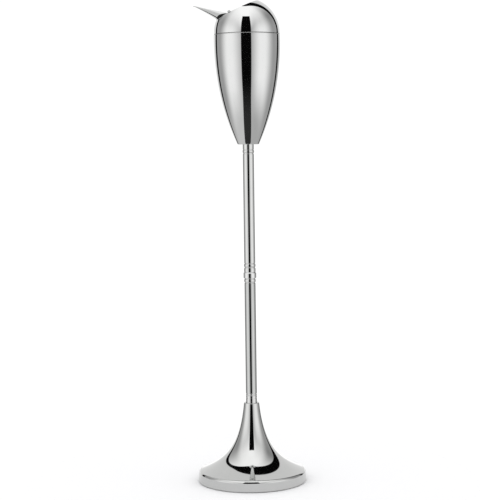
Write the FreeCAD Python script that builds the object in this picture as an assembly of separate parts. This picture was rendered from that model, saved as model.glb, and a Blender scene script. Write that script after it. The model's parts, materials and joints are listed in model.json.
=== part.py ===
import FreeCAD, Part
import math
import os

# A standing ashtray: a weighted trumpet base, a two-piece pole with turned fittings, an egg-shaped
# cup that holds a lift-out ash bucket, and a lift-off domed head whose slanted mouth is closed by a
# pivoting flap with a beak. Millimetres, +Z up, origin at the centre of the underside.

# ---- driving dimensions: base ----
BASE_R = 96.0
PAD_R = 91.0
PAD_BORE_R = 30.0
PAD_T = 2.0
PLATE_R = 94.0
PLATE_T = 1.2
PLATE_BORE_R = 15.0
COVER_T = 1.2
COVER_EDGE_Z = 0.8
COVER_TOP_Z = 139.7
SHOULDER_R = 94.9
SHOULDER_Z = 15.5
SHOULDER_MID = (93.7, 18.9)
TRUMPET = [(90.4, 20.9), (50.0, 37.4), (22.3, 59.1), (14.0, 138.5)]
WEIGHT_R = 91.5
WEIGHT_TOP_Z = 16.0
POCKET_R = 13.0
POCKET_TOP_Z = 11.0
SCREW_CIRCLE_R = 60.0
SCREW_R = 1.5
SCREW_L = 9.0
WASHER_R = 11.0
WASHER_T = 1.6
NUT_FLATS = 13.0
NUT_H = 6.5
ROD_FOOT_Z = 1.6

# ---- driving dimensions: pole ----
TUBE_R = 10.0
TUBE_BORE_R = 8.5
THREAD_R = 4.0
CLEAR_R = 4.3
SLEEVE_R = 8.0
LOWER_TUBE_Z = (156.3, 352.0)
RING_Z = (361.0, 371.4)
RING_R = 11.6
UPPER_TUBE_Z = (387.5, 578.9)
PLUG_L = 22.0
THREAD_SHORT = 2.0
FITTING_R = 10.45
GROOVE_R = 9.4
GROOVE_W = 0.9

# ---- driving dimensions: cup ----
CUP_BOTTOM_Z = 595.5
CUP_TOP_Z = 784.2
CUP_R = 58.65
CUP_WIDEST_Z = 771.7
CUP_ARC_R = 414.6
CUP_T = 1.0
CUP_FLOOR_T = 1.2
BACKING_R = 15.0
BACKING_T = 2.0
CUP_WASHER_R = 10.0
BOLT_HEAD_H = 5.3
RIM_TOP_Z = 785.4
RIM_LEDGE_Z = 771.0
BUCKET_RIM_R = 53.6
BUCKET_TOP_R = 49.5
BUCKET_BOTTOM_R = 31.0
BUCKET_BOTTOM_Z = 640.0
BUCKET_T = 0.8
BUCKET_CORNER_R = 6.0

# ---- driving dimensions: head and flap ----
HEAD_R = 58.0
HEAD_RISE = 63.0
HEAD_T = 1.0
HEAD_EDGE_Z = 785.9
SPIGOT_R = 53.9
SPIGOT_BORE_R = 52.6
SPIGOT_BOTTOM_Z = 777.0
MOUTH_TILT = 24.3
MOUTH_CENTRE = (-16.26, 827.58)
PIN_AXIS = (-14.53, 1.2)
PIN_R = 1.25
PIN_HEAD_R = 2.3
PIN_HEAD_T = 1.8
BARREL_R = 2.5
BARREL_BORE_R = 1.3
BARREL_HALF = 32.2
LUG_Y = (32.6, 34.4)
LUG_FOOT_N = -5.6
LUG_NOTCH = (3.5, 7.5)
FLAP_R = 37.6
FLAP_TOP_N = -1.3
FLAP_T = 0.8
BEAK_TIP = (-66.6, 39.9)
BEAK_HALF_WIDTH = 35.5
BEAK_T = 1.6
BEAK_N = [0.3, 7.0, 13.0, 19.5, 27.0, 33.5, BEAK_TIP[1] - 0.6]
BEAK_BASE_TOP_S = -18.3
BEAK_HEEL_S = -40.1
RIVET_R = 1.2
RIVET_S = -31.0
RIVET_Y = 12.0
RIVET_HEAD_R = 2.2
RIVET_HEAD_T = 0.8
BEAK_FLOOR_T = 1.0
BUMPER_TOP_N = 5.2

Y = FreeCAD.Vector(0, 1, 0)
Z = FreeCAD.Vector(0, 0, 1)
ORIGIN = FreeCAD.Vector(0, 0, 0)


def at(radius, height):
    """A point of a turned outline."""
    return FreeCAD.Vector(radius, 0, height)


def line(start, end):
    """A straight stretch of an outline."""
    return Part.LineSegment(at(*start), at(*end)).toShape()


def arc(start, middle, end):
    """A round stretch of an outline through three points."""
    return Part.Arc(at(*start), at(*middle), at(*end)).toShape()


def bezier(poles):
    """A smooth stretch of an outline from its four control points."""
    curve = Part.BezierCurve()
    curve.setPoles([at(*pole) for pole in poles])
    return curve.toShape()


def turned(edges):
    """A solid turned about the axis from a closed outline."""
    face = Part.Face(Part.Wire(Part.__sortEdges__(edges)))
    return face.revolve(ORIGIN, Z, 360)


def ring(inner, outer, low, high):
    """A plain turned ring."""
    solid = Part.makeCylinder(outer, high - low, at(0, low))
    return solid.cut(Part.makeCylinder(inner, high - low, at(0, low)))


def rod(radius, low, high):
    """A plain upright rod."""
    return Part.makeCylinder(radius, high - low, at(0, low))


def hexagon(across_flats, low, high):
    """An upright hexagonal prism."""
    corner = across_flats / math.sqrt(3)
    points = [FreeCAD.Vector(corner * math.cos(math.radians(a)), corner * math.sin(math.radians(a)), low)
              for a in range(0, 361, 60)]
    return Part.Face(Part.makePolygon(points)).extrude(FreeCAD.Vector(0, 0, high - low))


def offset_poles(poles, distance):
    """Moves each leg of a control polygon sideways, towards the axis, and meets the legs again."""
    legs = []
    for (r0, z0), (r1, z1) in zip(poles, poles[1:]):
        length = math.hypot(r1 - r0, z1 - z0)
        along = ((r1 - r0) / length, (z1 - z0) / length)
        side = (-along[1] * distance, along[0] * distance)
        legs.append(((r0 + side[0], z0 + side[1]), (r1 + side[0], z1 + side[1]), along))
    moved = [legs[0][0]]
    for (a, _, u), (b, _, v) in zip(legs, legs[1:]):
        cross = u[0] * v[1] - u[1] * v[0]
        reach = ((b[0] - a[0]) * v[1] - (b[1] - a[1]) * v[0]) / cross
        moved.append((a[0] + u[0] * reach, a[1] + u[1] * reach))
    moved.append(legs[-1][1])
    return moved


# ---- base ----
def floor_pad():
    """A rubber ring that the base stands on."""
    return ring(PAD_BORE_R, PAD_R, 0, PAD_T)


def bottom_plate():
    """The steel disc that closes the base, with its three screw holes."""
    plate = ring(PLATE_BORE_R, PLATE_R, PAD_T, PAD_T + PLATE_T)
    for hole in screw_places():
        plate = plate.cut(Part.makeCylinder(SCREW_R, PLATE_T, hole))
    return plate


def screw_places():
    """Where the three plate screws stand."""
    places = []
    for step in range(3):
        turn = math.radians(90 + 120 * step)
        places.append(FreeCAD.Vector(SCREW_CIRCLE_R * math.cos(turn), SCREW_CIRCLE_R * math.sin(turn), PAD_T))
    return places


def plate_screws():
    """Three screws from the bottom plate into the weight."""
    return Part.Compound([Part.makeCylinder(SCREW_R, SCREW_L, place) for place in screw_places()])


def base_weight():
    """The cast iron disc inside the base, with a pocket for the rod's nut."""
    low = PAD_T + PLATE_T
    bevel = 4.0
    outline = [
        line((CLEAR_R, POCKET_TOP_Z), (POCKET_R, POCKET_TOP_Z)),
        line((POCKET_R, POCKET_TOP_Z), (POCKET_R, low)),
        line((POCKET_R, low), (WEIGHT_R, low)),
        line((WEIGHT_R, low), (WEIGHT_R, WEIGHT_TOP_Z - bevel)),
        line((WEIGHT_R, WEIGHT_TOP_Z - bevel), (WEIGHT_R - bevel, WEIGHT_TOP_Z)),
        line((WEIGHT_R - bevel, WEIGHT_TOP_Z), (CLEAR_R, WEIGHT_TOP_Z)),
        line((CLEAR_R, WEIGHT_TOP_Z), (CLEAR_R, POCKET_TOP_Z)),
    ]
    weight = turned(outline)
    for place in screw_places():
        weight = weight.cut(Part.makeCylinder(SCREW_R, SCREW_L, place))
    return weight


def base_cover():
    """The spun trumpet shell, from the rolled foot edge up to its flat top flange."""
    inner = offset_poles(TRUMPET, COVER_T)
    flange_r = TRUMPET[-1][0] - 1.4
    wall_in = BASE_R - COVER_T - 0.2
    top_in = COVER_TOP_Z - COVER_T
    shoulder_in = (SHOULDER_R - COVER_T, SHOULDER_Z)
    edge_r = BASE_R - 0.8
    outline = [
        line((CLEAR_R, COVER_TOP_Z), (flange_r, COVER_TOP_Z)),
        arc((flange_r, COVER_TOP_Z), (TRUMPET[-1][0] - 0.35, COVER_TOP_Z - 0.35), TRUMPET[-1]),
        bezier(TRUMPET),
        arc(TRUMPET[0], SHOULDER_MID, (SHOULDER_R, SHOULDER_Z)),
        line((SHOULDER_R, SHOULDER_Z), (BASE_R, COVER_EDGE_Z + 1.4)),
        arc((BASE_R, COVER_EDGE_Z + 1.4), (BASE_R - 0.2, COVER_EDGE_Z + 0.4), (edge_r, COVER_EDGE_Z)),
        line((edge_r, COVER_EDGE_Z), (wall_in, COVER_EDGE_Z)),
        line((wall_in, COVER_EDGE_Z), shoulder_in),
        arc(shoulder_in, (SHOULDER_MID[0] - 0.95, SHOULDER_MID[1] - 0.75), inner[0]),
        bezier(inner),
        line(inner[-1], (inner[-1][0] - 0.6, top_in)),
        line((inner[-1][0] - 0.6, top_in), (CLEAR_R, top_in)),
        line((CLEAR_R, top_in), (CLEAR_R, COVER_TOP_Z)),
    ]
    return turned(outline)


def base_washer():
    """The washer between the rod's nut and the weight."""
    return ring(CLEAR_R, WASHER_R, POCKET_TOP_Z - WASHER_T, POCKET_TOP_Z)


def base_nut():
    """The hexagon nut at the rod's foot, sunk in the weight's pocket."""
    top = POCKET_TOP_Z - WASHER_T
    return hexagon(NUT_FLATS, top - NUT_H, top).cut(rod(THREAD_R, top - NUT_H, top))


def base_rod():
    """The threaded rod that pulls pole, cover and weight together."""
    return rod(THREAD_R, ROD_FOOT_Z, LOWER_TUBE_Z[0] + PLUG_L - THREAD_SHORT)


def spacer_sleeve():
    """The sleeve that takes the rod's pull between the weight and the cover's flange."""
    return ring(CLEAR_R + 0.7, SLEEVE_R, WEIGHT_TOP_Z, COVER_TOP_Z - COVER_T)


# ---- pole ----
def fitting(sections):
    """A turned fitting: stacked sections, each (low, high, radius, crown), with a clear bore.
    A crown above zero rounds the section outwards like a bead."""
    low = sections[0][0]
    high = sections[-1][1]
    outline = [line((CLEAR_R, high), (CLEAR_R, low))]
    last = (CLEAR_R, low)
    for bottom, top, radius, crown in sections:
        if abs(last[0] - radius) > 1e-6:
            outline.append(line(last, (radius, bottom)))
        if crown > 0:
            outline.append(arc((radius, bottom), (radius + crown, (bottom + top) / 2), (radius, top)))
        else:
            outline.append(line((radius, bottom), (radius, top)))
        last = (radius, top)
    outline.append(line(last, (CLEAR_R, high)))
    return turned(outline)


def base_collar():
    """A footed ring, a narrow ring and a bead between the trumpet and the lower tube."""
    low = COVER_TOP_Z
    high = LOWER_TUBE_Z[0]
    return fitting([
        (low, low + 1.6, FITTING_R - 0.1, 0),
        (low + 1.6, low + 7.7, TUBE_R, 0),
        (low + 7.7, low + 9.1, GROOVE_R, 0),
        (low + 9.1, low + 12.6, GROOVE_R + 0.5, 0),
        (low + 12.6, high - GROOVE_W, GROOVE_R, 0.5),
        (high - GROOVE_W, high, GROOVE_R - 0.1, 0),
    ])


def lower_ferrule():
    """The short ring under the coupling ring."""
    low = LOWER_TUBE_Z[1]
    return fitting([
        (low, low + 1.6, GROOVE_R, 0),
        (low + 1.6, RING_Z[0] - 1.4, GROOVE_R + 0.5, 0.6),
        (RING_Z[0] - 1.4, RING_Z[0], GROOVE_R, 0),
    ])


def coupling_ring():
    """The largest ring of the pole, bevelled at its top edge."""
    bevel = 1.5
    low, high = RING_Z
    outline = [
        line((CLEAR_R, high), (CLEAR_R, low)),
        line((CLEAR_R, low), (RING_R - 0.6, low)),
        arc((RING_R - 0.6, low), (RING_R - 0.15, low + 0.2), (RING_R, low + 0.7)),
        line((RING_R, low + 0.7), (RING_R, high - bevel)),
        line((RING_R, high - bevel), (RING_R - bevel * 0.8, high)),
        line((RING_R - bevel * 0.8, high), (CLEAR_R, high)),
    ]
    return turned(outline)


def upper_ferrule():
    """The full ring and the bead above the coupling ring."""
    low = RING_Z[1]
    high = UPPER_TUBE_Z[0]
    return fitting([
        (low, low + 7.5, FITTING_R - 0.2, 0.25),
        (low + 7.5, low + 8.7, GROOVE_R, 0),
        (low + 8.7, high - GROOVE_W, GROOVE_R + 0.3, 0.8),
        (high - GROOVE_W, high, GROOVE_R, 0),
    ])


def cup_collar():
    """The bead and plain neck under the cup."""
    low = UPPER_TUBE_Z[1]
    return fitting([
        (low, low + 1.6, GROOVE_R, 0),
        (low + 1.6, low + 7.2, GROOVE_R + 0.3, 0.7),
        (low + 7.2, low + 8.2, GROOVE_R + 0.2, 0),
        (low + 8.2, CUP_BOTTOM_Z, TUBE_R, 0),
    ])


def tube(span):
    """A pole tube, its two ends slightly broken."""
    low, high = span
    edge = 0.4
    outline = [
        line((TUBE_BORE_R, low), (TUBE_R - edge, low)),
        line((TUBE_R - edge, low), (TUBE_R, low + edge)),
        line((TUBE_R, low + edge), (TUBE_R, high - edge)),
        line((TUBE_R, high - edge), (TUBE_R - edge, high)),
        line((TUBE_R - edge, high), (TUBE_BORE_R, high)),
        line((TUBE_BORE_R, high), (TUBE_BORE_R, low)),
    ]
    return turned(outline)


def plug(low):
    """A threaded insert pressed into a tube's end."""
    return ring(THREAD_R, TUBE_BORE_R, low, low + PLUG_L)


def coupling_stud():
    """The threaded stud that joins the two tubes through the coupling ring."""
    return rod(THREAD_R, LOWER_TUBE_Z[1] - PLUG_L + THREAD_SHORT, UPPER_TUBE_Z[0] + PLUG_L - THREAD_SHORT)


# ---- cup ----
def cup_radius(height, wall):
    """The cup's radius at a height, its wall measured inwards from the outside."""
    reach = CUP_ARC_R - wall
    return CUP_R - CUP_ARC_R + math.sqrt(reach ** 2 - (height - CUP_WIDEST_Z) ** 2)


def cup_shell():
    """The egg-shaped cup, spun from sheet with a flat bottom."""
    corner = 1.0
    floor_z = CUP_BOTTOM_Z + CUP_FLOOR_T
    bottom = (cup_radius(CUP_BOTTOM_Z + corner, 0), CUP_BOTTOM_Z + corner)
    foot = (bottom[0] - corner - 0.4, CUP_BOTTOM_Z)
    top = (cup_radius(CUP_TOP_Z, 0), CUP_TOP_Z)
    top_in = (cup_radius(CUP_TOP_Z, CUP_T), CUP_TOP_Z)
    bottom_in = (cup_radius(floor_z, CUP_T), floor_z)
    middle_z = (CUP_BOTTOM_Z + CUP_TOP_Z) / 2
    outline = [
        line((CLEAR_R, CUP_BOTTOM_Z), foot),
        arc(foot, (bottom[0] - 0.45, CUP_BOTTOM_Z + 0.25), bottom),
        arc(bottom, (cup_radius(middle_z, 0), middle_z), top),
        line(top, top_in),
        arc(top_in, (cup_radius(middle_z, CUP_T), middle_z), bottom_in),
        line(bottom_in, (CLEAR_R, floor_z)),
        line((CLEAR_R, floor_z), (CLEAR_R, CUP_BOTTOM_Z)),
    ]
    return turned(outline)


def cup_rim_ring():
    """The ring in the cup's mouth: its flange caps the wall, its ledge holds the bucket."""
    skirt_r = cup_radius(CUP_TOP_Z, CUP_T) - 0.05
    flange_r = cup_radius(CUP_TOP_Z, 0) + 0.1
    bore_r = SPIGOT_R + 0.5
    ledge_r = 50.4
    step = 1.2
    outline = [
        line((ledge_r, RIM_LEDGE_Z - step), (skirt_r, RIM_LEDGE_Z - step)),
        line((skirt_r, RIM_LEDGE_Z - step), (skirt_r, CUP_TOP_Z)),
        line((skirt_r, CUP_TOP_Z), (flange_r - 0.4, CUP_TOP_Z)),
        arc((flange_r - 0.4, CUP_TOP_Z), (flange_r, (CUP_TOP_Z + RIM_TOP_Z) / 2), (flange_r - 0.4, RIM_TOP_Z)),
        line((flange_r - 0.4, RIM_TOP_Z), (bore_r, RIM_TOP_Z)),
        line((bore_r, RIM_TOP_Z), (bore_r, RIM_LEDGE_Z)),
        line((bore_r, RIM_LEDGE_Z), (ledge_r, RIM_LEDGE_Z)),
        line((ledge_r, RIM_LEDGE_Z), (ledge_r, RIM_LEDGE_Z - step)),
    ]
    return turned(outline)


def cup_backing():
    """The steel disc that stiffens the cup's floor."""
    low = CUP_BOTTOM_Z + CUP_FLOOR_T
    return ring(CLEAR_R, BACKING_R, low, low + BACKING_T)


def cup_washer():
    """The washer under the bolt's head."""
    low = CUP_BOTTOM_Z + CUP_FLOOR_T + BACKING_T
    return ring(CLEAR_R, CUP_WASHER_R, low, low + WASHER_T)


def cup_bolt():
    """The bolt from the cup's floor down into the upper tube's plug."""
    seat = CUP_BOTTOM_Z + CUP_FLOOR_T + BACKING_T + WASHER_T
    head = hexagon(NUT_FLATS, seat, seat + BOLT_HEAD_H)
    return head.fuse(rod(THREAD_R, UPPER_TUBE_Z[1] - PLUG_L + 2 * THREAD_SHORT, seat)).removeSplitter()


def ash_bucket():
    """The lift-out bucket: tapered wall, rounded floor and a flat rim."""
    low = BUCKET_BOTTOM_Z
    wall = BUCKET_T
    rim_low = RIM_LEDGE_Z
    rim_high = rim_low + 1.0
    corner = BUCKET_CORNER_R
    outline = [
        line((0, low), (BUCKET_BOTTOM_R - corner, low)),
        arc((BUCKET_BOTTOM_R - corner, low), (BUCKET_BOTTOM_R - 1.3, low + 2.0), (BUCKET_BOTTOM_R + 0.6, low + corner)),
        line((BUCKET_BOTTOM_R + 0.6, low + corner), (BUCKET_TOP_R, rim_low)),
        line((BUCKET_TOP_R, rim_low), (BUCKET_RIM_R, rim_low)),
        line((BUCKET_RIM_R, rim_low), (BUCKET_RIM_R, rim_high)),
        line((BUCKET_RIM_R, rim_high), (BUCKET_TOP_R - wall, rim_high)),
        line((BUCKET_TOP_R - wall, rim_high), (BUCKET_BOTTOM_R - 0.3, low + corner)),
        arc((BUCKET_BOTTOM_R - 0.3, low + corner), (BUCKET_BOTTOM_R - 2.2, low + 2.6),
            (BUCKET_BOTTOM_R - corner, low + wall)),
        line((BUCKET_BOTTOM_R - corner, low + wall), (0, low + wall)),
        line((0, low + wall), (0, low)),
    ]
    return turned(outline)


# ---- head ----
def mouth_frame(shape):
    """Moves a shape from the mouth's own frame (s up the slope, y across, n out of the mouth)."""
    shape.rotate(ORIGIN, Y, -MOUTH_TILT)
    shape.translate(FreeCAD.Vector(MOUTH_CENTRE[0], 0, MOUTH_CENTRE[1]))
    return shape


def ellipsoid(inset):
    """The dome's full body of revolution, made smaller by an inset."""
    radius = HEAD_R - inset
    rise = HEAD_RISE - inset
    centre_z = RIM_TOP_Z
    quarter = Part.Ellipse(at(0, centre_z + rise), at(radius, centre_z), at(0, centre_z))
    edge = Part.ArcOfEllipse(quarter, 0, math.pi / 2).toShape()
    if abs(edge.Vertexes[0].X - edge.Vertexes[-1].X) < 1:
        edge = Part.ArcOfEllipse(quarter, -math.pi / 2, 0).toShape()
    return turned([edge, line((0, centre_z + rise), (0, centre_z)), line((0, centre_z), (radius, centre_z))])


def above_mouth():
    """Everything on the outer side of the mouth's plane."""
    size = 200.0
    return mouth_frame(Part.makeBox(size, size, size, FreeCAD.Vector(-size / 2, -size / 2, 0)))


def pin_bore(radius, half_length):
    """A cylinder along the hinge axis."""
    start = FreeCAD.Vector(PIN_AXIS[0], -half_length, PIN_AXIS[1])
    return mouth_frame(Part.makeCylinder(radius, 2 * half_length, start, Y))


def head_shell():
    """The domed head: a thin shell, its slanted mouth notched for the hinge pin's heads."""
    shell = ellipsoid(0).cut(ellipsoid(HEAD_T))
    shell = shell.cut(Part.makeBox(200, 200, 10, FreeCAD.Vector(-100, -100, HEAD_EDGE_Z - 10)))
    shell = shell.cut(above_mouth())
    return shell.cut(pin_bore(PIN_HEAD_R + 0.4, 45.0))


def head_ring():
    """The turned ring inside the head: it sits on the cup's rim and its spigot centres the head."""
    wall_r = HEAD_R - HEAD_T - 0.15
    top_z = HEAD_EDGE_Z + 5.0
    outline = [
        line((SPIGOT_BORE_R, SPIGOT_BOTTOM_Z), (SPIGOT_R - 0.6, SPIGOT_BOTTOM_Z)),
        line((SPIGOT_R - 0.6, SPIGOT_BOTTOM_Z), (SPIGOT_R, SPIGOT_BOTTOM_Z + 1.5)),
        line((SPIGOT_R, SPIGOT_BOTTOM_Z + 1.5), (SPIGOT_R, RIM_TOP_Z)),
        line((SPIGOT_R, RIM_TOP_Z), (wall_r, RIM_TOP_Z)),
        line((wall_r, RIM_TOP_Z), (wall_r, HEAD_EDGE_Z + 0.6)),
        line((wall_r, HEAD_EDGE_Z + 0.6), (wall_r - 0.25, top_z)),
        line((wall_r - 0.25, top_z), (SPIGOT_BORE_R, top_z)),
        line((SPIGOT_BORE_R, top_z), (SPIGOT_BORE_R, SPIGOT_BOTTOM_Z)),
    ]
    return turned(outline)


def hinge_lug(side):
    """A small lug on the inside of the mouth that carries one end of the pin."""
    low_y, high_y = LUG_Y
    eye_r = PIN_HEAD_R + 0.3
    top_n = -2.0
    right_s = PIN_AXIS[0] + 1.0
    left_s = PIN_AXIS[0] - eye_r
    eye = Part.makeCylinder(eye_r, high_y - low_y, FreeCAD.Vector(PIN_AXIS[0], low_y, PIN_AXIS[1]), Y)
    stem_start = FreeCAD.Vector(left_s, low_y, LUG_FOOT_N)
    stem = Part.makeBox(right_s - left_s, high_y - low_y, PIN_AXIS[1] - LUG_FOOT_N, stem_start)
    foot = Part.makeBox(right_s - left_s, 12.0, top_n - LUG_FOOT_N, stem_start)
    foot = mouth_frame(foot).common(ellipsoid(HEAD_T))
    lug = mouth_frame(eye.fuse(stem)).fuse(foot).removeSplitter()
    lug = lug.cut(pin_bore(PIN_R, 45.0))
    if side < 0:
        lug = lug.mirror(ORIGIN, Y)
    return lug


def pin_head(low_y, thickness):
    """A shallow domed head on the hinge axis."""
    head = Part.makeCylinder(PIN_HEAD_R, thickness, FreeCAD.Vector(PIN_AXIS[0], low_y, PIN_AXIS[1]), Y)
    return head.makeFillet(thickness * 0.45, [head.Edges[0]])


def hinge_pin():
    """The pin along Y with its formed front head."""
    start = FreeCAD.Vector(PIN_AXIS[0], -LUG_Y[1], PIN_AXIS[1])
    shaft = Part.makeCylinder(PIN_R, 2 * LUG_Y[1] + 1.0, start, Y)
    head = pin_head(0, PIN_HEAD_T)
    head.rotate(FreeCAD.Vector(PIN_AXIS[0], 0, PIN_AXIS[1]), Z, 180)
    head.translate(FreeCAD.Vector(0, -LUG_Y[1], 0))
    return mouth_frame(shaft.fuse(head).removeSplitter())


def pin_cap():
    """The cap pressed on the pin's rear end."""
    cap = pin_head(LUG_Y[1], PIN_HEAD_T)
    bore = Part.makeCylinder(PIN_R, 1.0, FreeCAD.Vector(PIN_AXIS[0], LUG_Y[1], PIN_AXIS[1]), Y)
    return mouth_frame(cap.cut(bore))


# ---- flap ----
def flap_plate():
    """The disc that closes the mouth, notched at the two lugs."""
    low = FLAP_TOP_N - FLAP_T
    disc = Part.makeCylinder(FLAP_R, FLAP_T, FreeCAD.Vector(0, 0, low), Z)
    left, right = LUG_NOTCH
    depth = 8.0
    for near_y in (LUG_Y[0] - 0.6, 0.6 - LUG_Y[0] - depth):
        corner = FreeCAD.Vector(PIN_AXIS[0] - left, near_y, low - 1)
        disc = disc.cut(Part.makeBox(left + right, depth, 4, corner))
    for place in rivet_places():
        disc = disc.cut(Part.makeCylinder(RIVET_R, FLAP_T, FreeCAD.Vector(place[0], place[1], low), Z))
    return mouth_frame(disc)


def flap_barrel():
    """The tube on the flap that turns on the hinge pin."""
    start = FreeCAD.Vector(PIN_AXIS[0], -BARREL_HALF, PIN_AXIS[1])
    barrel = Part.makeCylinder(BARREL_R, 2 * BARREL_HALF, start, Y)
    bore = Part.makeCylinder(BARREL_BORE_R, 2 * BARREL_HALF, start, Y)
    return mouth_frame(barrel.cut(bore))


def rivet_places():
    """Where the beak's rivets stand on the flap, as (s, y)."""
    return [(RIVET_S, -RIVET_Y), (RIVET_S, RIVET_Y)]


def beak_section(n, inset):
    """A closed D-shaped section of the beak: a shallow crowned top and a deep round underside."""
    rise = (n - BEAK_N[0]) / (BEAK_TIP[1] - BEAK_N[0])
    fall = 1.0 - rise
    top_s = BEAK_BASE_TOP_S + (BEAK_TIP[0] - BEAK_BASE_TOP_S) * rise - inset
    keel_s = BEAK_HEEL_S + (BEAK_TIP[0] - BEAK_HEEL_S) * rise + 0.9 * math.sin(math.pi * rise) + inset
    half = BEAK_HALF_WIDTH * fall - 1.3 * inset
    crown = 1.8 * math.sin(math.pi * rise) * fall
    left = FreeCAD.Vector(top_s, -half, n)
    right = FreeCAD.Vector(top_s, half, n)
    top = Part.Arc(left, FreeCAD.Vector(top_s + crown + 0.02, 0, n), right).toShape()
    keel = Part.Arc(right, FreeCAD.Vector(keel_s, 0, n), left).toShape()
    return Part.Wire([top, keel])


def beak_body(inset, levels):
    """The beak's full body between its first and last sections."""
    return Part.makeLoft([beak_section(n, inset) for n in levels], True, False)


def beak_shell():
    """The hollow beak: its side edges arch clear of the mouth's rim."""
    inner_levels = [BEAK_N[0]] + BEAK_N[1:5]
    shell = beak_body(0, BEAK_N).cut(beak_body(BEAK_T, inner_levels))
    ends = ((BEAK_BASE_TOP_S - 1.2, BEAK_N[0] - 1), (BEAK_HEEL_S + 1.4, BEAK_N[0] - 1))
    middle = ((ends[0][0] + ends[1][0]) / 2, BEAK_N[0] + 4.0)
    arch = Part.Wire([Part.Arc(at(*ends[0]), at(*middle), at(*ends[1])).toShape(), line(ends[1], ends[0])])
    tool = Part.Face(arch).extrude(FreeCAD.Vector(0, 100, 0))
    tool.translate(FreeCAD.Vector(0, -50, 0))
    return mouth_frame(shell.cut(tool))


def inside_beak(low, high, clearance):
    """A slice of the beak's hollow, between two levels."""
    levels = [BEAK_N[0], BEAK_N[1], BEAK_N[2]]
    hollow = beak_body(BEAK_T + clearance, levels)
    slice_box = Part.makeBox(100, 100, high - low, FreeCAD.Vector(-80, -50, low))
    part = hollow.common(slice_box)
    for s, y in rivet_places():
        part = part.cut(Part.makeCylinder(RIVET_R, 20, FreeCAD.Vector(s, y, low - 5), Z))
    return part


def beak_bumper():
    """The black rubber block between flap and beak that shows under the beak's arched edge."""
    upper = inside_beak(BEAK_N[0], BUMPER_TOP_N, 0.15)
    foot = Part.makeCylinder(FLAP_R - 1.4, BEAK_N[0] - FLAP_TOP_N, FreeCAD.Vector(0, 0, FLAP_TOP_N), Z)
    edge_s = BEAK_BASE_TOP_S - 1.3
    foot = foot.common(Part.makeBox(60, 58, 10, FreeCAD.Vector(edge_s - 60, -29, -5)))
    for s, y in rivet_places():
        foot = foot.cut(Part.makeCylinder(RIVET_R, 20, FreeCAD.Vector(s, y, -5), Z))
    return mouth_frame(upper.fuse(foot).removeSplitter())


def beak_floor():
    """The plate soldered across the inside of the beak, which the rivets hold."""
    return mouth_frame(inside_beak(BUMPER_TOP_N, BUMPER_TOP_N + BEAK_FLOOR_T, 0.02))


def beak_rivets():
    """Two rivets through flap, bumper and beak floor."""
    rivets = []
    for s, y in rivet_places():
        low = FLAP_TOP_N - FLAP_T
        high = BUMPER_TOP_N + BEAK_FLOOR_T
        shank = Part.makeCylinder(RIVET_R, high - low, FreeCAD.Vector(s, y, low), Z)
        foot = Part.makeCylinder(RIVET_HEAD_R, RIVET_HEAD_T, FreeCAD.Vector(s, y, low - RIVET_HEAD_T), Z)
        head = Part.makeCylinder(RIVET_HEAD_R, RIVET_HEAD_T, FreeCAD.Vector(s, y, high), Z)
        rivets.append(shank.fuse(foot).fuse(head).removeSplitter())
    return mouth_frame(Part.Compound(rivets))


NODES = {
    "floor_pad": floor_pad,
    "bottom_plate": bottom_plate,
    "plate_screws": plate_screws,
    "base_weight": base_weight,
    "base_cover": base_cover,
    "base_washer": base_washer,
    "base_nut": base_nut,
    "base_rod": base_rod,
    "spacer_sleeve": spacer_sleeve,
    "base_collar": base_collar,
    "lower_tube": lambda: tube(LOWER_TUBE_Z),
    "lower_tube_foot_plug": lambda: plug(LOWER_TUBE_Z[0]),
    "lower_tube_top_plug": lambda: plug(LOWER_TUBE_Z[1] - PLUG_L),
    "lower_ferrule": lower_ferrule,
    "coupling_ring": coupling_ring,
    "coupling_stud": coupling_stud,
    "upper_ferrule": upper_ferrule,
    "upper_tube": lambda: tube(UPPER_TUBE_Z),
    "upper_tube_foot_plug": lambda: plug(UPPER_TUBE_Z[0]),
    "upper_tube_top_plug": lambda: plug(UPPER_TUBE_Z[1] - PLUG_L),
    "cup_collar": cup_collar,
    "cup_shell": cup_shell,
    "cup_rim_ring": cup_rim_ring,
    "cup_backing": cup_backing,
    "cup_washer": cup_washer,
    "cup_bolt": cup_bolt,
    "ash_bucket": ash_bucket,
    "head_shell": head_shell,
    "head_ring": head_ring,
    "hinge_lug_front": lambda: hinge_lug(-1),
    "hinge_lug_rear": lambda: hinge_lug(1),
    "hinge_pin": hinge_pin,
    "pin_cap": pin_cap,
    "flap_plate": flap_plate,
    "flap_barrel": flap_barrel,
    "beak_shell": beak_shell,
    "beak_floor": beak_floor,
    "beak_bumper": beak_bumper,
    "beak_rivets": beak_rivets,
}

os.makedirs("parts", exist_ok=True)
for name, make in NODES.items():
    shape = make()
    print(name, shape.isValid(), len(shape.Solids), round(shape.Volume, 1))
    shape.exportStep("parts/" + name + ".step")
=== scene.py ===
import json
import math
import bmesh
import bpy
from mathutils import Matrix, Vector
from mathutils.geometry import interpolate_bezier


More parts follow.
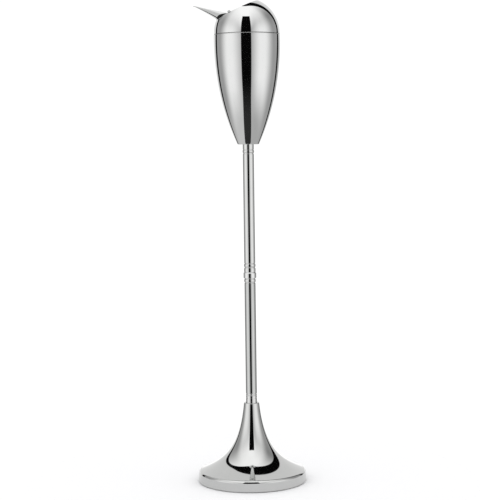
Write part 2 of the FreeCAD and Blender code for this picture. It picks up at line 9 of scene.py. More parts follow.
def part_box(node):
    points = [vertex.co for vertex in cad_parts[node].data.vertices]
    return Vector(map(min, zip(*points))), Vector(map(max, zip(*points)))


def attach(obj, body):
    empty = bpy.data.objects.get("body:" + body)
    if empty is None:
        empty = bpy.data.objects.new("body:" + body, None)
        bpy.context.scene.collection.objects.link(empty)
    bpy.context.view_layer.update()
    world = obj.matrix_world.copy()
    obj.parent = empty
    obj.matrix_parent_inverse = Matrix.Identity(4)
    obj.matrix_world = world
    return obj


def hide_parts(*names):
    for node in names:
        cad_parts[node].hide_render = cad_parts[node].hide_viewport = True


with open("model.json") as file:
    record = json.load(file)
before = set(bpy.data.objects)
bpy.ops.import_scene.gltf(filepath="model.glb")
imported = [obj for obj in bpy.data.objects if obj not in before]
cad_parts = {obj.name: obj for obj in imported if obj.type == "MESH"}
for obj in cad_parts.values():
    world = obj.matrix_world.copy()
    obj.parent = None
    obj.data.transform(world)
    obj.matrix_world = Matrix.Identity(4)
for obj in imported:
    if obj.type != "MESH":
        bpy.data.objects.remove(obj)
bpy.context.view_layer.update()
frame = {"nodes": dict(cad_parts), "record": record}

# A chrome standing ashtray: trumpet base, slim turned pole, egg-shaped cup and a domed head with a
# pivoting beaked flap. Metres, +Z up, the beak towards -X. Sizes below are the maker's millimetres.
MM = 0.001

# ---- the maker's dimensions ----
BASE_R = 96.0
COVER_T = 1.2
COVER_EDGE_Z = 0.8
COVER_TOP_Z = 139.7
SHOULDER_R = 94.9
SHOULDER_Z = 15.5
SHOULDER_MID = (93.7, 18.9)
TRUMPET = [(90.4, 20.9), (50.0, 37.4), (22.3, 59.1), (14.0, 138.5)]
TUBE_R = 10.0
TUBE_BORE_R = 8.5
BORE_R = 4.3
RING_R = 11.6
FITTING_R = 10.45
GROOVE_R = 9.4
GROOVE_W = 0.9
CUP_BOTTOM_Z = 595.5
CUP_TOP_Z = 784.2
CUP_R = 58.65
CUP_WIDEST_Z = 771.7
CUP_ARC_R = 414.6
CUP_T = 1.0
CUP_FLOOR_T = 1.2
RIM_TOP_Z = 785.4
RIM_LEDGE_Z = 771.0
RIM_LEDGE_R = 50.4
RIM_LEDGE_T = 1.2
RIM_BORE_R = 54.4
HEAD_R = 58.0
HEAD_RISE = 63.0
HEAD_T = 1.0
HEAD_EDGE_Z = 785.9
HEAD_SLIT = 0.3
MOUTH_TILT = math.radians(24.3)
MOUTH_CENTRE = (-16.26, 827.58)
PIN_AXIS = (-14.53, 1.2)
PIN_HEAD_R = 2.3
PIN_NOTCH_GAP = 0.4
BEAK_TIP = (-66.6, 39.9)
BEAK_FOOT_N = 0.3
BEAK_HALF_WIDTH = 35.5
BEAK_BASE_TOP_S = -18.3
BEAK_HEEL_S = -40.1
BEAK_TIP_FLAT = 0.6
BEAK_TOP_INSET = 1.2
BEAK_HEEL_INSET = 1.4
BEAK_KEEL_BOW = 0.9
BEAK_CROWN = 1.8
BEAK_ARCH = 3.6
BEAK_ARCH_FADE = 3.5 * BEAK_ARCH
BEAK_LEVELS = 18
BEAK_WALL = 1.2

# ---- how finely shapes are drawn ----
STEPS = 160
FINE_STEPS = 256
CURVE_STEPS = 40
LONG_EDGE = 0.9
HOLD_GAP = 0.1
HOLD_BEND = math.radians(6)
CORNER_BEND = math.radians(25)
EDGE_BREAK = 0.25


def linear(hex_colour, alpha=1.0):
    """An sRGB hex colour as linear values."""
    parts = [int(hex_colour[i:i + 2], 16) / 255 for i in (1, 3, 5)]
    return [c / 12.92 if c <= 0.04045 else ((c + 0.055) / 1.055) ** 2.4 for c in parts] + [alpha]


def add(tree, kind, inputs=None, **settings):
    """Adds a node with its settings; an input is a value or another node's socket."""
    node = tree.nodes.new(kind)
    for key, value in settings.items():
        setattr(node, key, value)
    for key, value in (inputs or {}).items():
        if isinstance(value, bpy.types.NodeSocket):
            tree.links.new(value, node.inputs[key])
        else:
            node.inputs[key].default_value = value
    return node


# ---- materials ----
def blank(name):
    """An empty node material and its tree."""
    material = bpy.data.materials.new(name)
    material.use_nodes = True
    material.node_tree.nodes.clear()
    return material, material.node_tree


def polished_chrome(name, dark="#C2C3C3", pale="#CBCBCA", haze=0.035, marks=0.00002):
    """Bright chrome plate over polished steel: near-mirror, neutral, with a faint uneven haze and
    fine round polishing marks left by the buffing wheel, 0.6 mm apart so that they can just show."""
    material, tree = blank(name)
    place = add(tree, "ShaderNodeTexCoord").outputs["Object"]
    cloud = add(tree, "ShaderNodeTexNoise", {
        "Vector": place, "Scale": 1 / (30 * MM), "Detail": 3.0, "Roughness": 0.6})
    rough = add(tree, "ShaderNodeMapRange", {
        "Value": cloud.outputs["Fac"], "From Min": 0.3, "From Max": 0.7,
        "To Min": haze * 0.7, "To Max": haze * 1.4})
    squeezed = add(tree, "ShaderNodeMapping", {"Vector": place, "Scale": (0.08, 0.08, 1.0)})
    lines = add(tree, "ShaderNodeTexNoise", {
        "Vector": squeezed.outputs["Vector"], "Scale": 1 / (0.6 * MM), "Detail": 1.0})
    bump = add(tree, "ShaderNodeBump", {"Height": lines.outputs["Fac"], "Strength": 0.04, "Distance": marks})
    tone = add(tree, "ShaderNodeMix", {
        "Factor": cloud.outputs["Fac"], "A": linear(dark), "B": linear(pale)}, data_type="RGBA")
    shader = add(tree, "ShaderNodeBsdfPrincipled", {
        "Base Color": tone.outputs["Result"], "Metallic": 1.0, "Roughness": rough.outputs["Result"],
        "Normal": bump.outputs["Normal"]})
    add(tree, "ShaderNodeOutputMaterial", {"Surface": shader.outputs["BSDF"]})
    return material


def zinc_plated_steel():
    """Zinc-plated fasteners and inserts: dull silver-grey with a cloudy passivation tint."""
    material, tree = blank("zinc_plated_steel")
    place = add(tree, "ShaderNodeTexCoord").outputs["Object"]
    cloud = add(tree, "ShaderNodeTexNoise", {"Vector": place, "Scale": 1 / (6 * MM), "Detail": 4.0})
    grain = add(tree, "ShaderNodeTexNoise", {"Vector": place, "Scale": 1 / (0.7 * MM), "Detail": 2.0})
    tone = add(tree, "ShaderNodeMix", {
        "Factor": cloud.outputs["Fac"], "A": linear("#A9ABA8"), "B": linear("#C6C4BA")}, data_type="RGBA")
    rough = add(tree, "ShaderNodeMapRange", {"Value": cloud.outputs["Fac"], "To Min": 0.28, "To Max": 0.5})
    bump = add(tree, "ShaderNodeBump", {"Height": grain.outputs["Fac"], "Strength": 0.2, "Distance": 0.00005})
    shader = add(tree, "ShaderNodeBsdfPrincipled", {
        "Base Color": tone.outputs["Result"], "Metallic": 1.0, "Roughness": rough.outputs["Result"],
        "Normal": bump.outputs["Normal"]})
    add(tree, "ShaderNodeOutputMaterial", {"Surface": shader.outputs["BSDF"]})
    return material


def satin_stainless():
    """Spun stainless steel of the ash bucket: satin, with turning lines 0.8 mm apart round the axis."""
    material, tree = blank("satin_stainless_steel")
    place = add(tree, "ShaderNodeTexCoord").outputs["Object"]
    squeezed = add(tree, "ShaderNodeMapping", {"Vector": place, "Scale": (0.15, 0.15, 1.0)})
    lines = add(tree, "ShaderNodeTexNoise", {
        "Vector": squeezed.outputs["Vector"], "Scale": 1 / (0.8 * MM), "Detail": 3.0})
    tone = add(tree, "ShaderNodeMix", {
        "Factor": lines.outputs["Fac"], "A": linear("#B4B3AF"), "B": linear("#CFCECB")}, data_type="RGBA")
    rough = add(tree, "ShaderNodeMapRange", {"Value": lines.outputs["Fac"], "To Min": 0.22, "To Max": 0.38})
    bump = add(tree, "ShaderNodeBump", {
        "Height": lines.outputs["Fac"], "Strength": 0.25, "Distance": 0.00005})
    shader = add(tree, "ShaderNodeBsdfPrincipled", {
        "Base Color": tone.outputs["Result"], "Metallic": 1.0, "Roughness": rough.outputs["Result"],
        "Normal": bump.outputs["Normal"]})
    add(tree, "ShaderNodeOutputMaterial", {"Surface": shader.outputs["BSDF"]})
    return material


def black_rubber():
    """Moulded black rubber: matt, near-black, dusty so that it shines little, with a pebbled skin 0.8 mm
    across."""
    material, tree = blank("moulded_black_rubber")
    place = add(tree, "ShaderNodeTexCoord").outputs["Object"]
    pebble = add(tree, "ShaderNodeTexVoronoi", {"Vector": place, "Scale": 1 / (0.8 * MM)})
    dust = add(tree, "ShaderNodeTexNoise", {"Vector": place, "Scale": 1 / (12 * MM), "Detail": 4.0})
    tone = add(tree, "ShaderNodeMix", {
        "Factor": dust.outputs["Fac"], "A": linear("#0B0B0B"), "B": linear("#1A1A1A")}, data_type="RGBA")
    rough = add(tree, "ShaderNodeMapRange", {"Value": dust.outputs["Fac"], "To Min": 0.55, "To Max": 0.75})
    bump = add(tree, "ShaderNodeBump", {
        "Height": pebble.outputs["Distance"], "Strength": 0.2, "Distance": 0.00008})
    shader = add(tree, "ShaderNodeBsdfPrincipled", {
        "Base Color": tone.outputs["Result"], "Roughness": rough.outputs["Result"], "IOR": 1.3,
        "Normal": bump.outputs["Normal"]})
    add(tree, "ShaderNodeOutputMaterial", {"Surface": shader.outputs["BSDF"]})
    return material


def painted_cast_iron():
    """The base weight: grey iron cast in sand and dipped in black paint, with a rough 1.5 mm grain."""
    material, tree = blank("painted_cast_iron")
    place = add(tree, "ShaderNodeTexCoord").outputs["Object"]
    grain = add(tree, "ShaderNodeTexNoise", {
        "Vector": place, "Scale": 1 / (1.5 * MM), "Detail": 6.0, "Roughness": 0.6})
    cloud = add(tree, "ShaderNodeTexNoise", {"Vector": place, "Scale": 1 / (25 * MM), "Detail": 2.0})
    tone = add(tree, "ShaderNodeMix", {
        "Factor": cloud.outputs["Fac"], "A": linear("#1D1E1F"), "B": linear("#2F2E2D")}, data_type="RGBA")
    bump = add(tree, "ShaderNodeBump", {"Height": grain.outputs["Fac"], "Strength": 0.5, "Distance": 0.0002})
    shader = add(tree, "ShaderNodeBsdfPrincipled", {
        "Base Color": tone.outputs["Result"], "Roughness": 0.62, "IOR": 1.5,
        "Normal": bump.outputs["Normal"]})
    add(tree, "ShaderNodeOutputMaterial", {"Surface": shader.outputs["BSDF"]})
    return material


# The plate differs from piece to piece: the upper tube and the spun base come out a little greyer than the
# cup, the lower tube is darker still as painted shade, the beak is hazy from polishing by hand, the pin's
# small heads are only brushed, and the spigot ring inside the head is painted near-black as painted shade, so
# that the slit above the cup reads as a dark line.
CHROME = polished_chrome("polished_chrome_plate")
TUBE_CHROME = polished_chrome("chrome_plated_drawn_tube", "#BCBDBC", "#C6C6C5", haze=0.03)
# painted shade: the same tube chrome made darker for the lower tube, which reflects less light
LOWER_TUBE_PAINTED_SHADE_CHROME = polished_chrome("chrome_lower_tube_painted_shade", "#ACADAC", "#B6B7B6", haze=0.03)
BASE_CHROME = polished_chrome("chrome_plated_spun_base", "#B9BAB9", "#C3C3C2", haze=0.04)
BEAK_CHROME = polished_chrome("hand_polished_chrome_beak", haze=0.09, marks=0.00004)
PIN_CHROME = polished_chrome("brushed_chrome_pin", "#DCDDDD", "#E4E4E3", haze=0.5)
# painted shade: a near-black chrome for the spigot ring inside the head, so that the slit above the cup reads
# as a dark line
PAINTED_SHADE_CHROME = polished_chrome("chrome_painted_dark_as_shade", "#2A2927", "#3B3A37", haze=0.4)
FINISHES = {
    "polished_chrome": CHROME,
    "zinc_steel": zinc_plated_steel(),
    "stainless_steel": satin_stainless(),
    "black_rubber": black_rubber(),
    "cast_iron": painted_cast_iron(),
}


# ---- shape helpers ----
def finish_piece(form, name, body, node, material, sharp=35):
    """Turns a finished form into a smooth-shaded piece that stands for its CAD node."""
    mesh = bpy.data.meshes.new(name)
    form.to_mesh(mesh)
    form.free()
    mesh.shade_smooth()
    mesh.set_sharp_from_angle(angle=math.radians(sharp))
    piece = bpy.data.objects.new(name, mesh)
    bpy.context.collection.objects.link(piece)
    mesh.materials.append(material)
    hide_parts(node)
    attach(piece, body)
    return piece


def bezier(poles, steps=CURVE_STEPS):
    """Points along a smooth stretch of an outline."""
    points = interpolate_bezier(*[Vector((r, 0, z)) for r, z in poles], steps)
    return [(p.x, p.z) for p in points]


def arc(start, middle, end, steps=CURVE_STEPS):
    """Points along a round stretch of an outline through three points."""
    (ax, ay), (bx, by), (cx, cy) = start, middle, end
    d = 2 * (ax * (by - cy) + bx * (cy - ay) + cx * (ay - by))
    sa, sb, sc = ax * ax + ay * ay, bx * bx + by * by, cx * cx + cy * cy
    centre = Vector(((sa * (by - cy) + sb * (cy - ay) + sc * (ay - by)) / d,
                     (sa * (cx - bx) + sb * (ax - cx) + sc * (bx - ax)) / d))
    first = Vector(start) - centre
    turn = first.angle_signed(Vector(end) - centre)
    points = [centre + Matrix.Rotation(-turn * k / steps, 2) @ first for k in range(steps + 1)]
    return [(p.x, p.y) for p in points]


def hold_long_edges(form):
    """Adds a point close to each end of a long straight stretch that meets a bend, so that it shades flat."""
    for edge in [edge for edge in form.edges if edge.calc_length() > LONG_EDGE * MM]:
        for vert in list(edge.verts):
            others = [link for link in vert.link_edges if link is not edge]
            if not others:
                continue
            along = edge.other_vert(vert).co - vert.co
            if along.angle(vert.co - others[0].other_vert(vert).co) > HOLD_BEND:
                _, near = bmesh.utils.edge_split(edge, vert, HOLD_GAP * MM / edge.calc_length())
                edge = max(near.link_edges, key=lambda link: link.calc_length())


def turn_full(form, steps):
    """Spins everything in a form once round the axis."""
    bmesh.ops.spin(form, geom=form.verts[:] + form.edges[:], cent=(0, 0, 0), axis=(0, 0, 1),
                   dvec=(0, 0, 0), angle=2 * math.pi, steps=steps, use_merge=True)


def spun(outline, rounding=0.0, steps=STEPS):
    """A closed outline of (radius, height) spun about the axis, its corners rounded first."""
    form = bmesh.new()
    corners = [form.verts.new((r * MM, 0, z * MM)) for r, z in outline]
    for pair in zip(corners, corners[1:] + corners[:1]):
        form.edges.new(pair)
    if rounding > 0:
        form.verts.ensure_lookup_table()
        sharp = []
        for vert in form.verts:
            one, two = [edge.other_vert(vert).co - vert.co for edge in vert.link_edges]
            if one.angle(-two) > CORNER_BEND and vert.co.x > (BORE_R + 0.1) * MM:
                sharp.append(vert)
        bmesh.ops.bevel(form, geom=sharp, offset=rounding * MM, affect="VERTICES", segments=3,
                        profile=0.5, material=-1, clamp_overlap=True)
    hold_long_edges(form)
    turn_full(form, steps)
    bmesh.ops.remove_doubles(form, verts=form.verts, dist=1e-6)
    bmesh.ops.recalc_face_normals(form, faces=form.faces)
    return form


def fitting(sections):
    """The outline of a turned fitting: stacked sections, each (low, high, radius, crown)."""
    outline = [(BORE_R, sections[-1][1]), (BORE_R, sections[0][0])]
    for low, high, radius, crown in sections:
        if crown > 0:
            outline += arc((radius, low), (radius + crown, (low + high) / 2), (radius, high), 10)
        else:
            outline += [(radius, low), (radius, high)]
    return outline


def heights(node):
    """A node's lowest and highest points in millimetres."""
    low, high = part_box(node)
    return low[2] / MM, high[2] / MM


def break_edges(piece, width, bend):
    """Rounds a piece's edges lightly where they bend more than an angle in degrees."""
    edge = piece.modifiers.new("edge", "BEVEL")
    edge.width = width * MM
    edge.segments = 2
    edge.limit_method = "ANGLE"
    edge.angle_limit = math.radians(bend)


# ---- base ----
def make_base_cover():
    """The spun trumpet shell with its rolled foot edge and rounded shoulder."""
    wall_in = BASE_R - COVER_T - 0.2
    outer = arc((BASE_R - 0.8, COVER_EDGE_Z), (BASE_R - 0.2, COVER_EDGE_Z + 0.4),
                (BASE_R, COVER_EDGE_Z + 1.4), 6)
    outer += arc((SHOULDER_R, SHOULDER_Z), SHOULDER_MID, TRUMPET[0], 24)
    outer += bezier(TRUMPET, 72)[1:]
    outer += arc(TRUMPET[-1], (TRUMPET[-1][0] - 0.35, COVER_TOP_Z - 0.35),
                 (TRUMPET[-1][0] - 1.4, COVER_TOP_Z), 6)[1:]
    outer += [(BORE_R, COVER_TOP_Z), (BORE_R, COVER_TOP_Z - COVER_T)]
    inner = [(r - COVER_T * 0.9, z - COVER_T * 0.6) for r, z in bezier(TRUMPET, 20)]
    outer += list(reversed(inner)) + [(SHOULDER_R - COVER_T, SHOULDER_Z), (wall_in, COVER_EDGE_Z)]
    form = spun(outer, steps=FINE_STEPS)
    finish_piece(form, "trumpet_base_cover", "root", "base_cover", BASE_CHROME, sharp=40)


# ---- pole ----
def make_tube(name, node, material):
    """A pole tube with its ends slightly broken."""
    low, high = heights(node)
    form = spun([(TUBE_BORE_R, low), (TUBE_R, low), (TUBE_R, high), (TUBE_BORE_R, high)], rounding=0.4)
    finish_piece(form, name, "root", node, material)


def make_fittings():
    """The five turned fittings of the pole."""
    low, high = heights("base_collar")
    shapes = {"base_collar": [
        (low, low + 1.6, FITTING_R - 0.1, 0), (low + 1.6, low + 7.7, TUBE_R, 0),
        (low + 7.7, low + 9.1, GROOVE_R, 0), (low + 9.1, low + 12.6, GROOVE_R + 0.5, 0),
        (low + 12.6, high - GROOVE_W, GROOVE_R, 0.5), (high - GROOVE_W, high, GROOVE_R - 0.1, 0)]}
    low, high = heights("lower_ferrule")
    shapes["lower_ferrule"] = [
        (low, low + 1.6, GROOVE_R, 0), (low + 1.6, high - 1.4, GROOVE_R + 0.5, 0.6),
        (high - 1.4, high, GROOVE_R, 0)]
    low, high = heights("upper_ferrule")
    shapes["upper_ferrule"] = [
        (low, low + 7.5, FITTING_R - 0.2, 0.25), (low + 7.5, low + 8.7, GROOVE_R, 0),
        (low + 8.7, high - GROOVE_W, GROOVE_R + 0.3, 0.8), (high - GROOVE_W, high, GROOVE_R, 0)]
    low, high = heights("cup_collar")
    shapes["cup_collar"] = [
        (low, low + 1.6, GROOVE_R, 0), (low + 1.6, low + 7.2, GROOVE_R + 0.3, 0.7),
        (low + 7.2, low + 8.2, GROOVE_R + 0.2, 0), (low + 8.2, high, TUBE_R, 0)]
    for node, sections in shapes.items():
        form = spun(fitting(sections), rounding=0.18)
        finish_piece(form, "turned_" + node, "root", node, TUBE_CHROME)
    low, high = heights("coupling_ring")
    outline = [(BORE_R, high), (BORE_R, low), (RING_R - 0.6, low), (RING_R, low + 0.7),
               (RING_R, high - 1.5), (RING_R - 1.2, high)]
    form = spun(outline, rounding=0.2)
    finish_piece(form, "turned_coupling_ring", "root", "coupling_ring", CHROME)


# ---- cup ----
def cup_radius(height, wall):
    """The cup's radius at a height, its wall measured inwards from the outside."""
    return CUP_R - CUP_ARC_R + math.sqrt((CUP_ARC_R - wall) ** 2 - (height - CUP_WIDEST_Z) ** 2)


def make_cup():
    """The egg-shaped cup and the ring in its mouth."""
    floor_z = CUP_BOTTOM_Z + CUP_FLOOR_T
    start_z = CUP_BOTTOM_Z + 1.0
    bottom = (cup_radius(start_z, 0), start_z)
    foot = (bottom[0] - 1.4, CUP_BOTTOM_Z)
    levels = [start_z + (CUP_TOP_Z - start_z) * k / 80 for k in range(81)]
    outline = [(BORE_R, floor_z), (BORE_R, CUP_BOTTOM_Z)]
    outline += arc(foot, (bottom[0] - 0.45, CUP_BOTTOM_Z + 0.25), bottom, 5)[:-1]
    outline += [(cup_radius(z, 0), z) for z in levels]
    outline += [(cup_radius(z, CUP_T), z) for z in reversed([z for z in levels if z > floor_z])]
    form = spun(outline, steps=FINE_STEPS)
    finish_piece(form, "egg_cup", "root", "cup_shell", CHROME, sharp=40)
    skirt_r = cup_radius(CUP_TOP_Z, CUP_T) - 0.05
    flange_r = cup_radius(CUP_TOP_Z, 0) + 0.1
    under_z = RIM_LEDGE_Z - RIM_LEDGE_T
    outline = [(RIM_LEDGE_R, under_z), (skirt_r, under_z), (skirt_r, CUP_TOP_Z)]
    outline += arc((flange_r - 0.4, CUP_TOP_Z), (flange_r, (CUP_TOP_Z + RIM_TOP_Z) / 2),
                   (flange_r - 0.4, RIM_TOP_Z), 10)
    outline += [(RIM_BORE_R, RIM_TOP_Z), (RIM_BORE_R, RIM_LEDGE_Z), (RIM_LEDGE_R, RIM_LEDGE_Z)]
    form = spun(outline, steps=FINE_STEPS)
    finish_piece(form, "cup_mouth_ring", "root", "cup_rim_ring", CHROME)


# ---- head ----
MOUTH = (Matrix.Translation((MOUTH_CENTRE[0] * MM, 0, MOUTH_CENTRE[1] * MM))
         @ Matrix.Rotation(-MOUTH_TILT, 4, "Y") @ Matrix.Scale(MM, 4))


def cut_away(piece, tool):
    """Cuts a tool out of a piece and leaves the plain result."""
    cutter_mesh = bpy.data.meshes.new("cutter")
    tool.to_mesh(cutter_mesh)
    tool.free()
    cutter = bpy.data.objects.new("cutter", cutter_mesh)
    bpy.context.collection.objects.link(cutter)
    cut = piece.modifiers.new("notch", "BOOLEAN")
    cut.operation = "DIFFERENCE"
    cut.solver = "EXACT"
    cut.object = cutter
    bpy.context.view_layer.update()
    result = bpy.data.meshes.new_from_object(piece.evaluated_get(bpy.context.evaluated_depsgraph_get()))
    piece.modifiers.clear()
    piece.data = result
    bpy.data.objects.remove(cutter)


def rod_across(radius, half_length, steps=48):
    """A cylinder along the hinge axis."""
    form = bmesh.new()
    bmesh.ops.create_cone(form, cap_ends=True, segments=steps, radius1=radius, radius2=radius,
                          depth=2 * half_length)
    bmesh.ops.rotate(form, verts=form.verts, cent=(0, 0, 0), matrix=Matrix.Rotation(math.pi / 2, 3, "X"))
    bmesh.ops.translate(form, verts=form.verts, vec=(PIN_AXIS[0], 0, PIN_AXIS[1]))
    bmesh.ops.transform(form, verts=form.verts, matrix=MOUTH)
    return form


def make_head_shell():
    """The domed head: a thin shell cut by the slanted mouth and notched for the hinge pin's heads. Its
    lower edge stands a little higher than the CAD's, so that the slit above the cup shows."""
    form = bmesh.new()
    quarter = [(HEAD_R * math.cos(a), RIM_TOP_Z + HEAD_RISE * math.sin(a))
               for a in [math.pi / 2 * k / 64 for k in range(65)]]
    points = [form.verts.new((r * MM, 0, z * MM)) for r, z in quarter]
    for pair in zip(points, points[1:]):
        form.edges.new(pair)
    turn_full(form, FINE_STEPS)
    bmesh.ops.remove_doubles(form, verts=form.verts, dist=1e-5)
    bmesh.ops.recalc_face_normals(form, faces=form.faces)
    heart = Vector((0, 0, RIM_TOP_Z * MM))
    if sum(face.normal.dot(face.calc_center_median() - heart) for face in form.faces) < 0:
        bmesh.ops.reverse_faces(form, faces=form.faces)
    up = Vector((0, 0, 1))
    mouth_cut = (MOUTH.translation, (MOUTH.to_3x3() @ up).normalized(), True)
    foot_cut = (Vector((0, 0, (HEAD_EDGE_Z + HEAD_SLIT) * MM)), up, False)
    for where, facing, above in (mouth_cut, foot_cut):
        bmesh.ops.bisect_plane(form, geom=form.verts[:] + form.edges[:] + form.faces[:], dist=1e-7,
                               plane_co=where, plane_no=facing, clear_outer=above, clear_inner=not above)
    bmesh.ops.remove_doubles(form, verts=form.verts, dist=2e-5)
    piece = finish_piece(form, "domed_head", "head", "head_shell", CHROME, sharp=40)
    wall = piece.modifiers.new("wall", "SOLIDIFY")
    wall.thickness = HEAD_T * MM
    wall.offset = -1
    cut_away(piece, rod_across(PIN_HEAD_R + PIN_NOTCH_GAP, 45.0))
    piece.data.set_sharp_from_angle(angle=math.radians(40))
    break_edges(piece, EDGE_BREAK, 50)


def smooth_copy(node, name, body, material, rounding=0.15):
    """A merged copy of a CAD node with its edges lightly rounded."""
    form = bmesh.new()
    form.from_mesh(frame["nodes"][node].data)
    bmesh.ops.remove_doubles(form, verts=form.verts, dist=1e-6)
    bmesh.ops.dissolve_limit(form, angle_limit=math.radians(0.6), verts=form.verts, edges=form.edges)
    piece = finish_piece(form, name, body, node, material, sharp=30)
    break_edges(piece, rounding, 40)


# ---- flap ----
def beak_section(n, around=48):
    """One D-shaped loop of the beak at a level above the mouth: shallow crowned top, deep round underside."""
    rise = (n - BEAK_FOOT_N) / (BEAK_TIP[1] - BEAK_FOOT_N)
    fall = 1.0 - rise
    top_s = BEAK_BASE_TOP_S + (BEAK_TIP[0] - BEAK_BASE_TOP_S) * rise
    keel_s = BEAK_HEEL_S + (BEAK_TIP[0] - BEAK_HEEL_S) * rise + BEAK_KEEL_BOW * math.sin(math.pi * rise)
    half = BEAK_HALF_WIDTH * fall
    crown = BEAK_CROWN * math.sin(math.pi * rise) * fall
    points = arc((top_s, -half), (top_s + crown + 0.02, 0), (top_s, half), around // 3)
    return points + arc((top_s, half), (keel_s, 0), (top_s, -half), around)[1:-1]


def make_beak():
    """The hollow beak, its side edges arched clear of the mouth's rim; the arch fades out up the walls."""
    form = bmesh.new()
    middle = (BEAK_BASE_TOP_S - BEAK_TOP_INSET + BEAK_HEEL_S + BEAK_HEEL_INSET) / 2
    half = (BEAK_BASE_TOP_S - BEAK_TOP_INSET - BEAK_HEEL_S - BEAK_HEEL_INSET) / 2
    lifts = [BEAK_ARCH * max(0.0, 1 - ((s - middle) / half) ** 2) for s, _ in beak_section(BEAK_FOOT_N)]
    rings = []
    for k in range(BEAK_LEVELS + 1):
        level = BEAK_FOOT_N + (BEAK_TIP[1] - BEAK_TIP_FLAT - BEAK_FOOT_N) * k / BEAK_LEVELS
        fade = max(0.0, 1 - (level - BEAK_FOOT_N) / BEAK_ARCH_FADE)
        ring = []
        for index, lift in enumerate(lifts):
            s, y = beak_section(level + lift * fade)[index]
            ring.append(form.verts.new((s, y, level + lift * fade)))
        rings.append((ring, [form.edges.new(pair) for pair in zip(ring, ring[1:] + ring[:1])]))
    for (_, low), (_, high) in zip(rings, rings[1:]):
        bmesh.ops.bridge_loops(form, edges=low + high)
    form.faces.new(rings[-1][0])
    bmesh.ops.recalc_face_normals(form, faces=form.faces)
    bmesh.ops.transform(form, verts=form.verts, matrix=MOUTH)
    piece = finish_piece(form, "pointed_beak", "flap", "beak_shell", BEAK_CHROME, sharp=50)
    wall = piece.modifiers.new("wall", "SOLIDIFY")
    wall.thickness = BEAK_WALL * MM
    wall.offset = -1
    break_edges(piece, EDGE_BREAK, 40)


make_base_cover()
make_tube("lower_pole_tube", "lower_tube", LOWER_TUBE_PAINTED_SHADE_CHROME)
make_tube("upper_pole_tube", "upper_tube", TUBE_CHROME)
make_fittings()
make_cup()
make_head_shell()
make_beak()
smooth_copy("hinge_pin", "hinge_pin_polished", "head", PIN_CHROME, 0.1)
smooth_copy("pin_cap", "pin_cap_polished", "head", PIN_CHROME, 0.1)
smooth_copy("hinge_lug_front", "front_hinge_lug", "head", CHROME)
smooth_copy("hinge_lug_rear", "rear_hinge_lug", "head", CHROME)
smooth_copy("flap_plate", "flap_disc", "flap", CHROME, 0.2)
smooth_copy("flap_barrel", "flap_hinge_barrel", "flap", CHROME)
smooth_copy("beak_bumper", "rubber_bumper", "flap", FINISHES["black_rubber"], 0.2)

slot_of = {part["node"]: part["material_slot"] for part in frame["record"]["subparts"]}
for node, obj in frame["nodes"].items():
    if not obj.hide_render:
        obj.data.materials.clear()
        # the spigot ring takes the near-black chrome that paints the slit's shade
        obj.data.materials.append(PAINTED_SHADE_CHROME if node == "head_ring" else FINISHES[slot_of[node]])

# ---- floor ----
FLOOR_R = 0.4
form = bmesh.new()
bmesh.ops.create_circle(form, cap_ends=True, segments=96, radius=FLOOR_R)
mesh = bpy.data.meshes.new("floor")
form.to_mesh(mesh)
form.free()
floor = bpy.data.objects.new("floor", mesh)
bpy.context.collection.objects.link(floor)
paper, tree = blank("white_paper_sweep")
shader = add(tree, "ShaderNodeBsdfDiffuse", {"Color": linear("#FBFBFC")})
add(tree, "ShaderNodeOutputMaterial", {"Surface": shader.outputs["BSDF"]})
mesh.materials.append(paper)

# ---- studio, seen by mirror rays only: a soft panel left and right, a soft panel overhead, a dark gap in
# front where the studio opens, a white backdrop with a dark arch behind, and a grey floor further out.
# Angles are degrees and levels are sRGB greys, as the chrome returns them ----
ROOM = 148
PANEL = 231
LEFT_PANEL = (-107, -69, -57, 0)
RIGHT_PANEL = (3, 50, 62, 107)
BACK_WALL = 229
BACK_WALL_LEFT = (-124, -159)
BACK_WALL_RIGHT = (137, 164)
ARCH_FEET = (42, 53)
ARCH_TOP = (68, 88)
ARCH_RISES = ((14, 102), (10, 100))
ARCH_FALLS = ((152, 108), (150, 88))
ARCH_RIGHT_FOOT = 3
ARCH_LEFT_FOOT = 4
GAP_LEFT = -20
GAP_RIGHT = 15
GAP_WIDENS_BY = 17
GAP_WIDENS_FROM = -20
GAP_WIDENS_OVER = 28
GAP_TOP = 52.8
GAP_SOFT = 0.9
GAP_TOP_SOFT = 0.8
GAP_GREY = 5
GAP_FLOOR_GREY = 42
ARCH_SOFT = 0.6
ARCH_GREY = 4
BACKDROP_SOFT = 0.5
BACKDROP = 198
OVERHEAD = 244
FLOOR_LEFT = 188
FLOOR_RIGHT = 162
CHROME_SHINE = 0.56
ROOM_LIGHT = 1.05


def grey(level):
    """A grey level as the light that chrome turns into it."""
    return linear("#%02X%02X%02X" % (round(level), round(level), round(level)))


world = bpy.data.worlds.new("studio")
bpy.context.scene.world = world
world.use_nodes = True
tree = world.node_tree
tree.nodes.clear()
axes = add(tree, "ShaderNodeSeparateXYZ", {"Vector": add(tree, "ShaderNodeTexCoord").outputs["Generated"]})
x, y, z = axes.outputs["X"], axes.outputs["Y"], axes.outputs["Z"]


def maths(operation, *values):
    """One step of the studio's geometry."""
    return add(tree, "ShaderNodeMath", dict(enumerate(values)), operation=operation).outputs[0]


def smooth(value, start, end, low=0.0, high=1.0):
    """A soft change from one number to another."""
    return add(tree, "ShaderNodeMapRange", {
        "Value": value, "From Min": start, "From Max": end, "To Min": low, "To Max": high},
        interpolation_type="SMOOTHSTEP").outputs[0]


def between(value, low, high, soft):
    """1 where the value lies between two limits, fading over a soft edge."""
    rising = smooth(value, maths("SUBTRACT", low, soft), maths("ADD", low, soft))
    falling = smooth(value, maths("SUBTRACT", high, soft), maths("ADD", high, soft), 1.0, 0.0)
    return maths("MULTIPLY", rising, falling)


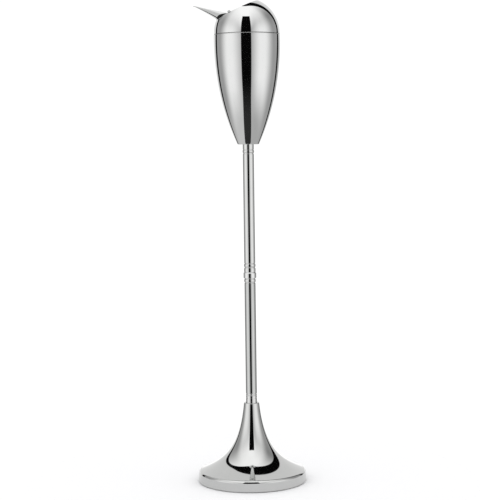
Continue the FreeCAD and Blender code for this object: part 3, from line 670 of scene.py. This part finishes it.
def blend_light(amount, one, two, mode="MIX"):
    """A mix of two lights."""
    return add(tree, "ShaderNodeMix", {"Factor": amount, "A": one, "B": two}, data_type="RGBA",
               blend_type=mode).outputs["Result"]


def degrees(value):
    """Radians as degrees."""
    return maths("MULTIPLY", value, 180 / math.pi)


# turn runs round the studio from the front, rise goes up from level, off_back is the angle from straight
# behind, and roll runs over the arch from right to left
turn = degrees(maths("ARCTAN2", x, maths("MULTIPLY", y, -1.0)))
rise = degrees(maths("ARCSINE", z))
off_back = degrees(maths("ARCCOSINE", y))
roll = degrees(maths("ARCTAN2", maths("MAXIMUM", z, 0.0), x))

panels = grey(ROOM)
for foot, full, ends, gone in (LEFT_PANEL, RIGHT_PANEL):
    spread = maths("MULTIPLY", smooth(turn, foot, full), smooth(turn, ends, gone, 1.0, 0.0))
    panels = blend_light(spread, panels, grey(PANEL))
for near, far in (BACK_WALL_LEFT, BACK_WALL_RIGHT):
    panels = blend_light(smooth(turn, near, far), panels, grey(BACK_WALL))
dimmer = smooth(rise, 8.0, 40.0, 1.0, 0.74)
dimmer_grey = add(tree, "ShaderNodeCombineColor", {0: dimmer, 1: dimmer, 2: dimmer}).outputs[0]
faded = blend_light(1.0, panels, dimmer_grey, "MULTIPLY")
overhead = maths("MULTIPLY", smooth(roll, 36.0, 88.0), smooth(roll, 100.0, 160.0, 1.0, 0.0))
light = blend_light(overhead, faded, grey(OVERHEAD))
floor_light = blend_light(smooth(x, -0.6, 0.6), grey(FLOOR_LEFT), grey(FLOOR_RIGHT))
light = blend_light(smooth(rise, -13.0, -36.0), light, floor_light)

widens = maths("DIVIDE", maths("SUBTRACT", GAP_WIDENS_FROM, rise), GAP_WIDENS_OVER)
widens = maths("POWER", maths("MAXIMUM", maths("MINIMUM", widens, 1.0), 0.0), 2.0)
gap_left = maths("MULTIPLY_ADD", widens, -GAP_WIDENS_BY, GAP_LEFT)
gap_right = maths("MULTIPLY_ADD", widens, GAP_WIDENS_BY, GAP_RIGHT)
gap = between(turn, gap_left, gap_right, GAP_SOFT)
gap = maths("MULTIPLY", gap, smooth(rise, GAP_TOP - GAP_TOP_SOFT, GAP_TOP + GAP_TOP_SOFT, 1.0, 0.0))
gap_light = blend_light(smooth(rise, -13.0, -40.0), grey(GAP_GREY), grey(GAP_FLOOR_GREY))
light = blend_light(gap, light, gap_light)

feet = maths("ADD", smooth(roll, 12.0, 0.0, 0.0, ARCH_RIGHT_FOOT),
             smooth(roll, 155.0, 180.0, 0.0, ARCH_LEFT_FOOT))
limits = []
for foot, top, rises, falls in zip(ARCH_FEET, ARCH_TOP, ARCH_RISES, ARCH_FALLS):
    hump = maths("MULTIPLY", smooth(roll, *rises), smooth(roll, *falls))
    limits.append(maths("ADD", maths("MULTIPLY_ADD", hump, top - foot, foot), feet))
arch_in, arch_out = limits
inside = smooth(off_back, maths("SUBTRACT", arch_in, BACKDROP_SOFT),
                maths("ADD", arch_in, BACKDROP_SOFT), 1.0, 0.0)
light = blend_light(maths("MULTIPLY", inside, smooth(rise, 0.0, 10.0)), light, grey(BACKDROP))
light = blend_light(between(off_back, arch_in, arch_out, ARCH_SOFT), light, grey(ARCH_GREY))

path = add(tree, "ShaderNodeLightPath")
mirror = add(tree, "ShaderNodeBackground", {"Color": light, "Strength": 1 / CHROME_SHINE})
plain = add(tree, "ShaderNodeBackground", {"Color": (1, 1, 1, 1), "Strength": ROOM_LIGHT})
choice = add(tree, "ShaderNodeMixShader", {
    0: path.outputs["Is Glossy Ray"], 1: plain.outputs[0], 2: mirror.outputs[0]})
add(tree, "ShaderNodeOutputWorld", {"Surface": choice.outputs[0]})
bpy.context.scene.view_settings.view_transform = "Standard"
bpy.context.scene.view_settings.look = "None"

# ---- camera: level with the cup's foot, 2.4 m away, a long lens tipped slightly down ----
CAMERA_PLACE = (0.0008, -2.4397, 0.594)
CAMERA_DOWN = 4.305
CAMERA_ROLL = -0.74
lens = bpy.data.cameras.new("camera")
lens.lens = 100.2
lens.sensor_width = 36.0
camera = bpy.data.objects.new("camera", lens)
bpy.context.collection.objects.link(camera)
camera.matrix_world = (Matrix.Translation(CAMERA_PLACE)
                       @ Matrix.Rotation(math.radians(90 - CAMERA_DOWN), 4, "X")
                       @ Matrix.Rotation(math.radians(CAMERA_ROLL), 4, "Z"))
bpy.context.scene.camera = camera
